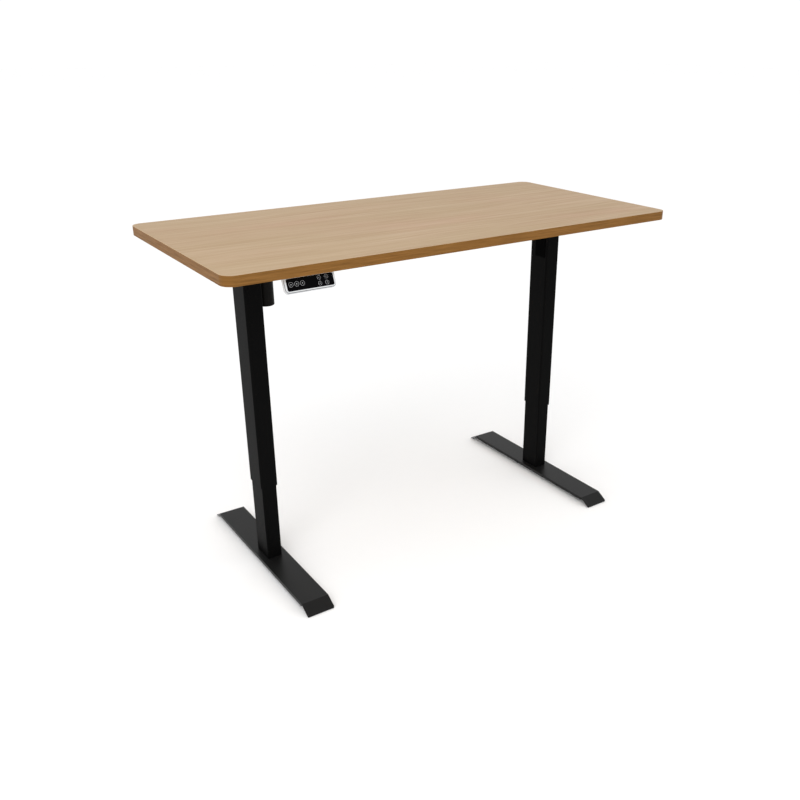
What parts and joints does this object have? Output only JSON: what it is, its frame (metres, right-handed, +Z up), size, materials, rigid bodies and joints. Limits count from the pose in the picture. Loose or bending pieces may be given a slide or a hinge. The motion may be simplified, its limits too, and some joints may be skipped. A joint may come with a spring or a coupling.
{
  "type": "standing desk",
  "caption": "Height adjustable standing desk: rectangular wood-look top on two telescopic steel columns with flat feet, hidden motor drive, control box and keypad handset",
  "frame": {"origin": "on the floor plane at the centre of the footprint", "axes": "+X along the desktop's length, to the right for a user sitting at -Y; +Y to the back; +Z up, out of the desktop"},
  "size_m": [1.4, 0.67, 0.96],
  "materials": {
    "oak_laminate": "light oak laminate, satin",
    "edge_oak": "warm brown wood edge band, satin",
    "powder_black": "black fine-texture powder coat",
    "zinc_black": "black zinc plated fasteners",
    "steel": "bright steel",
    "cast_alu": "die cast aluminium",
    "brass": "machined brass",
    "nylon_white": "natural nylon",
    "plastic_black": "black moulded plastic",
    "rubber_black": "black rubber",
    "shell_silver": "silver grey moulded plastic",
    "panel_gloss": "gloss black acrylic",
    "key_black": "black satin keys",
    "board_green": "circuit board"
  },
  "bodies": {
    "base": {"foot_left": "powder_black", "foot_right": "powder_black", "foot_bolts": "zinc_black", "glide_nuts": "steel", "inner_tube_left": "powder_black", "inner_tube_right": "powder_black", "guide_caps": "nylon_white", "lead_nuts": "brass"},
    "screw_left_body": {"lead_screw_left": "steel", "screw_bevel_left": "steel"},
    "screw_right_body": {"lead_screw_right": "steel", "screw_bevel_right": "steel"},
    "shaft_body": {"cross_shaft": "steel", "shaft_bevels": "steel", "drive_bevel": "steel"},
    "rotor_body": {"rotor": "steel"},
    "glide_lf_body": {"glide_lf": "plastic_black"},
    "glide_lb_body": {"glide_lb": "plastic_black"},
    "glide_rf_body": {"glide_rf": "plastic_black"},
    "glide_rb_body": {"glide_rb": "plastic_black"},
    "key_up_body": {"key_up": "key_black"},
    "key_down_body": {"key_down": "key_black"},
    "key_m_body": {"key_m": "key_black"},
    "key_1_body": {"key_1": "key_black"},
    "key_2_body": {"key_2": "key_black"},
    "key_3_body": {"key_3": "key_black"},
    "key_4_body": {"key_4": "key_black"},
    "lift": {"tabletop": "oak_laminate", "edge_band": "edge_oak", "side_arm_left": "powder_black", "side_arm_right": "powder_black", "top_pads": "rubber_black", "top_screws": "zinc_black", "beam_front": "powder_black", "beam_back": "powder_black", "beam_bolts": "zinc_black", "outer_tube_left": "powder_black", "outer_tube_right": "powder_black", "collars": "plastic_black", "gearbox_left": "cast_alu", "gearbox_right": "cast_alu", "head_bolts": "zinc_black", "tube_screws": "zinc_black", "drive_lid": "cast_alu", "lid_screws": "zinc_black", "motor_can": "powder_black", "motor_cap": "plastic_black", "motor_magnets": "steel", "shaft_bearings": "steel", "screw_bearings": "steel", "port_cover": "plastic_black", "control_plate": "steel", "control_case": "plastic_black", "control_board": "board_green", "mains_inlet": "plastic_black", "control_screws": "zinc_black", "handset_case": "shell_silver", "handset_panel": "panel_gloss", "handset_board": "board_green"}
  },
  "joints": [
    {"name": "lift_slide", "type": "slide", "parent": "base", "child": "lift", "axis": [0, 0, 1], "range_m": [-0.23, 0.22]},
    {"name": "screw_left_spin", "type": "hinge", "parent": "lift", "child": "screw_left_body", "pos_m": [-0.515, 0, 0.892], "axis": [0, 0, 1], "continuous": true},
    {"name": "screw_right_spin", "type": "hinge", "parent": "lift", "child": "screw_right_body", "pos_m": [0.515, 0, 0.892], "axis": [0, 0, 1], "continuous": true},
    {"name": "shaft_spin", "type": "hinge", "parent": "lift", "child": "shaft_body", "pos_m": [0, 0, 0.892], "axis": [1, 0, 0], "continuous": true},
    {"name": "rotor_spin", "type": "hinge", "parent": "lift", "child": "rotor_body", "pos_m": [-0.466, 0, 0.892], "axis": [0, 0, 1], "continuous": true},
    {"name": "glide_lf_turn", "type": "hinge", "parent": "base", "child": "glide_lf_body", "pos_m": [-0.515, -0.2695, 0], "axis": [0, 0, 1], "continuous": true},
    {"name": "glide_lb_turn", "type": "hinge", "parent": "base", "child": "glide_lb_body", "pos_m": [-0.515, 0.2695, 0], "axis": [0, 0, 1], "continuous": true},
    {"name": "glide_rf_turn", "type": "hinge", "parent": "base", "child": "glide_rf_body", "pos_m": [0.515, -0.2695, 0], "axis": [0, 0, 1], "continuous": true},
    {"name": "glide_rb_turn", "type": "hinge", "parent": "base", "child": "glide_rb_body", "pos_m": [0.515, 0.2695, 0], "axis": [0, 0, 1], "continuous": true},
    {"name": "key_up_press", "type": "slide", "parent": "lift", "child": "key_up_body", "axis": [0, 0.9272, -0.3746], "range_m": [0, 0.0005], "stiffness_N_per_m": 400},
    {"name": "key_down_press", "type": "slide", "parent": "lift", "child": "key_down_body", "axis": [0, 0.9272, -0.3746], "range_m": [0, 0.0005], "stiffness_N_per_m": 400},
    {"name": "key_m_press", "type": "slide", "parent": "lift", "child": "key_m_body", "axis": [0, 0.9272, -0.3746], "range_m": [0, 0.0005], "stiffness_N_per_m": 400},
    {"name": "key_1_press", "type": "slide", "parent": "lift", "child": "key_1_body", "axis": [0, 0.9272, -0.3746], "range_m": [0, 0.0005], "stiffness_N_per_m": 400},
    {"name": "key_2_press", "type": "slide", "parent": "lift", "child": "key_2_body", "axis": [0, 0.9272, -0.3746], "range_m": [0, 0.0005], "stiffness_N_per_m": 400},
    {"name": "key_3_press", "type": "slide", "parent": "lift", "child": "key_3_body", "axis": [0, 0.9272, -0.3746], "range_m": [0, 0.0005], "stiffness_N_per_m": 400},
    {"name": "key_4_press", "type": "slide", "parent": "lift", "child": "key_4_body", "axis": [0, 0.9272, -0.3746], "range_m": [0, 0.0005], "stiffness_N_per_m": 400}
  ],
  "couplings": [
    {"joint": "screw_left_spin", "follows": "lift_slide", "rad_per_m": 628.32},
    {"joint": "screw_right_spin", "follows": "lift_slide", "rad_per_m": -628.32},
    {"joint": "shaft_spin", "follows": "lift_slide", "rad_per_m": -628.32},
    {"joint": "rotor_spin", "follows": "lift_slide", "rad_per_m": 1256.6}
  ]
}
